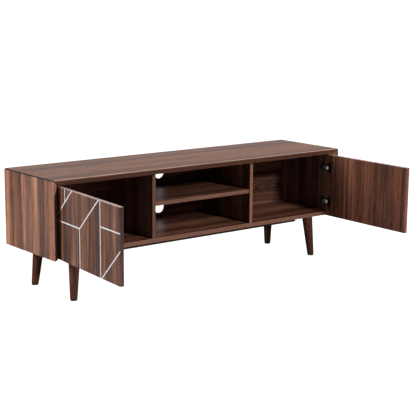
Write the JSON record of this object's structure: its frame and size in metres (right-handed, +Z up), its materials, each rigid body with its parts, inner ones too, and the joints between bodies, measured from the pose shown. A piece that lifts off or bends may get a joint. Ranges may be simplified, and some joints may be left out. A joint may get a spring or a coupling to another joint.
{
  "type": "tv stand with doors",
  "caption": "Low walnut media cabinet on splayed tapered legs: mitred case, open middle bay with shelf, and recessed side doors with inlaid metal lines, standing open.",
  "frame": {"origin": "on the floor, at the middle of the floor area the stand covers with both doors standing open; the middle of the case itself is 6.5 mm to +X and 229.5 mm to +Y of it", "axes": "+X along the length towards the right-hand end seen from the front, +Y from the doors towards the back, +Z up"},
  "size_m": [1.513, 0.839, 0.492],
  "materials": {
    "top_veneer": "satin walnut veneer, grain along the length",
    "walnut": "satin walnut veneer",
    "back_board": "walnut foil on thin board",
    "leg_wood": "dark walnut stain",
    "foot_rubber": "matt black",
    "trim_black": "matt black strip",
    "black_steel": "satin black",
    "cam_brass": "dull zinc with a brass tint",
    "inlay_metal": "brushed silver",
    "nickel": "bright nickel plate"
  },
  "bodies": {
    "case": {"back_left_foot": "foot_rubber", "back_left_leg": "leg_wood", "back_left_leg_bolt": "nickel", "back_right_foot": "foot_rubber", "back_right_leg": "leg_wood", "back_right_leg_bolt": "nickel", "bottom_panel": "walnut", "front_left_foot": "foot_rubber", "front_left_leg": "leg_wood", "front_left_leg_bolt": "nickel", "front_right_foot": "foot_rubber", "front_right_leg": "leg_wood", "front_right_leg_bolt": "nickel", "left_back_cam_lock": "cam_brass", "left_back_panel": "back_board", "left_back_shelf_pin": "nickel", "left_corner_trim": "trim_black", "left_divider": "walnut", "left_end_panel": "walnut", "left_front_cam_lock": "cam_brass", "left_front_shelf_pin": "nickel", "left_lower_hinge_arm": "nickel", "left_lower_hinge_plate": "black_steel", "left_upper_hinge_arm": "nickel", "left_upper_hinge_plate": "black_steel", "middle_back_panel": "back_board", "right_back_cam_lock": "cam_brass", "right_back_panel": "back_board", "right_back_shelf_pin": "nickel", "right_corner_trim": "trim_black", "right_divider": "walnut", "right_end_panel": "walnut", "right_front_cam_lock": "cam_brass", "right_front_shelf_pin": "nickel", "right_lower_hinge_arm": "nickel", "right_lower_hinge_plate": "black_steel", "right_upper_hinge_arm": "nickel", "right_upper_hinge_plate": "black_steel", "shelf": "walnut", "top_panel": "top_veneer", "under_rail": "black_steel"},
    "left_door_leaf": {"left_door": "walnut", "left_inlay_centre": "inlay_metal", "left_inlay_corner": "inlay_metal", "left_inlay_tall": "inlay_metal", "left_inlay_upper": "inlay_metal", "left_lower_hinge_cup": "nickel", "left_upper_hinge_cup": "nickel"},
    "left_hinge_links": {"left_lower_hinge_link": "nickel", "left_upper_hinge_link": "nickel"},
    "right_door_leaf": {"right_door": "walnut", "right_inlay_centre": "inlay_metal", "right_inlay_corner": "inlay_metal", "right_inlay_tall": "inlay_metal", "right_inlay_upper": "inlay_metal", "right_lower_hinge_cup": "nickel", "right_upper_hinge_cup": "nickel"},
    "right_hinge_links": {"right_lower_hinge_link": "nickel", "right_upper_hinge_link": "nickel"}
  },
  "joints": [
    {"name": "left_door_hinge", "type": "hinge", "parent": "case", "child": "left_door_leaf", "pos_m": [-0.70951, 0.06251, 0.32675], "axis": [0, 0, -1], "range_deg": [-95, 10]},
    {"name": "left_link_turn", "type": "hinge", "parent": "case", "child": "left_hinge_links", "pos_m": [-0.70951, 0.06251, 0.32675], "axis": [0, 0, -1], "range_deg": [-47.5, 5]},
    {"name": "right_door_hinge", "type": "hinge", "parent": "case", "child": "right_door_leaf", "pos_m": [0.72249, 0.06251, 0.32675], "axis": [0, 0, 1], "range_deg": [-89, 16]},
    {"name": "right_link_turn", "type": "hinge", "parent": "case", "child": "right_hinge_links", "pos_m": [0.72249, 0.06251, 0.32675], "axis": [0, 0, 1], "range_deg": [-44.5, 8]}
  ],
  "couplings": [
    {"joint": "left_link_turn", "follows": "left_door_hinge", "ratio": 0.5},
    {"joint": "right_link_turn", "follows": "right_door_hinge", "ratio": 0.5}
  ]
}
